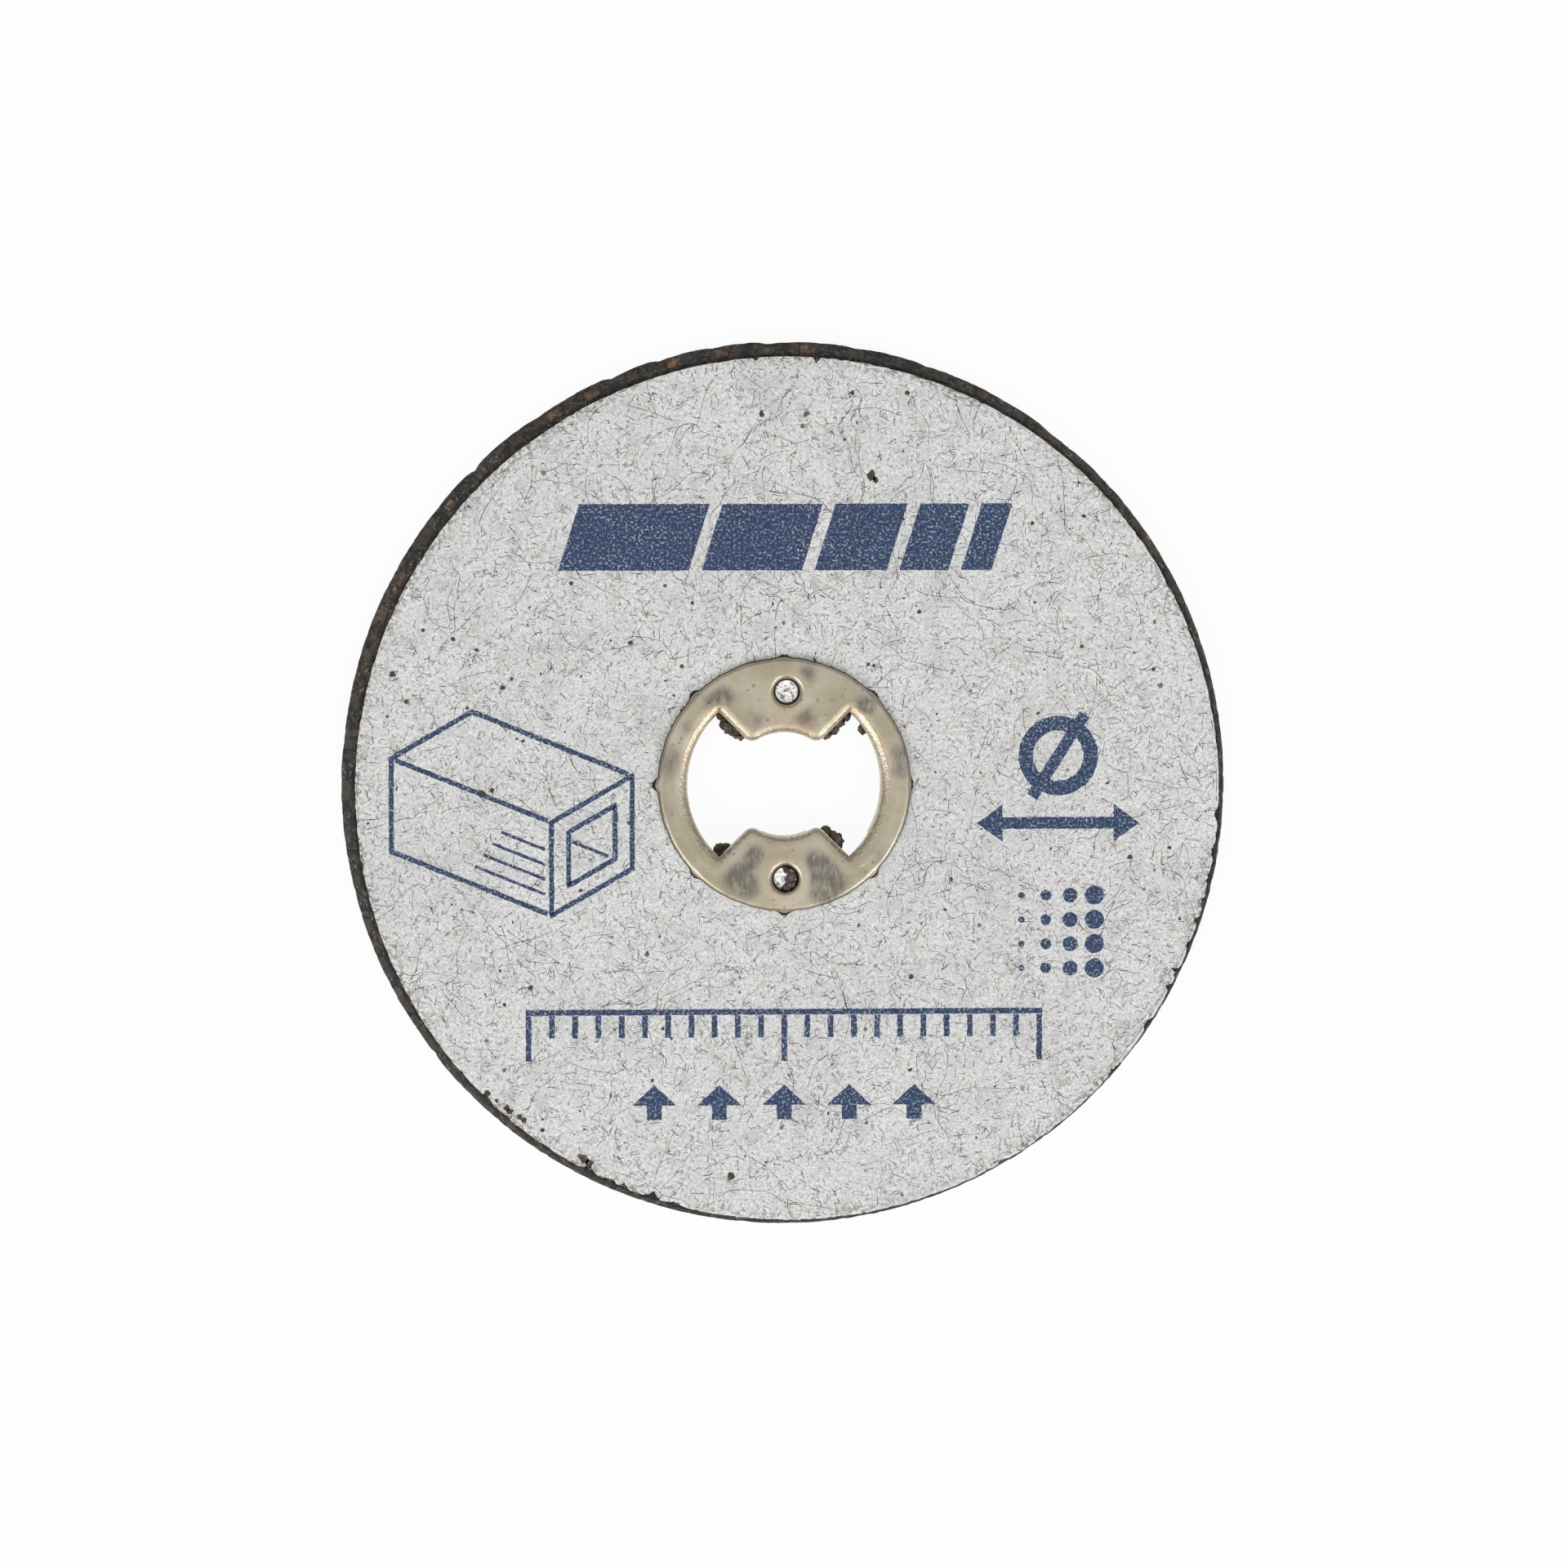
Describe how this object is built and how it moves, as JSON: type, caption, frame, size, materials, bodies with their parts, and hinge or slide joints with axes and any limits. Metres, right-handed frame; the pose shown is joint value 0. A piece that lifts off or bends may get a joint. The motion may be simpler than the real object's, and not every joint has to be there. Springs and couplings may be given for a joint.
{
  "type": "cut-off wheel",
  "caption": "Thin round bonded-abrasive cut-off wheel with a papered face and a toothed sheet-metal hub whose bow-tie opening slips over a quick-change mandrel.",
  "frame": {"origin": "on the wheel's axis, in the plane of the back face that the wheel lies on", "axes": "+Z along the wheel's axis, out of the papered face; +X along the long axis of the hub's opening; +Y towards the top of the face"},
  "size_m": [0.038, 0.038, 0.0015],
  "materials": {
    "abrasive": "dark grey-brown grit in resin, rough, with amber ends of glass yarn at the rim",
    "paper": "light grey fibre paper with fine dark hairs and specks, blue print",
    "hub_metal": "thin sheet metal with a pale yellow-grey plating, smudged, bright on its rolled edges"
  },
  "bodies": {
    "root": {"abrasive_disc": "abrasive", "face_paper": "paper", "hub_plate": "hub_metal"}
  },
  "joints": []
}
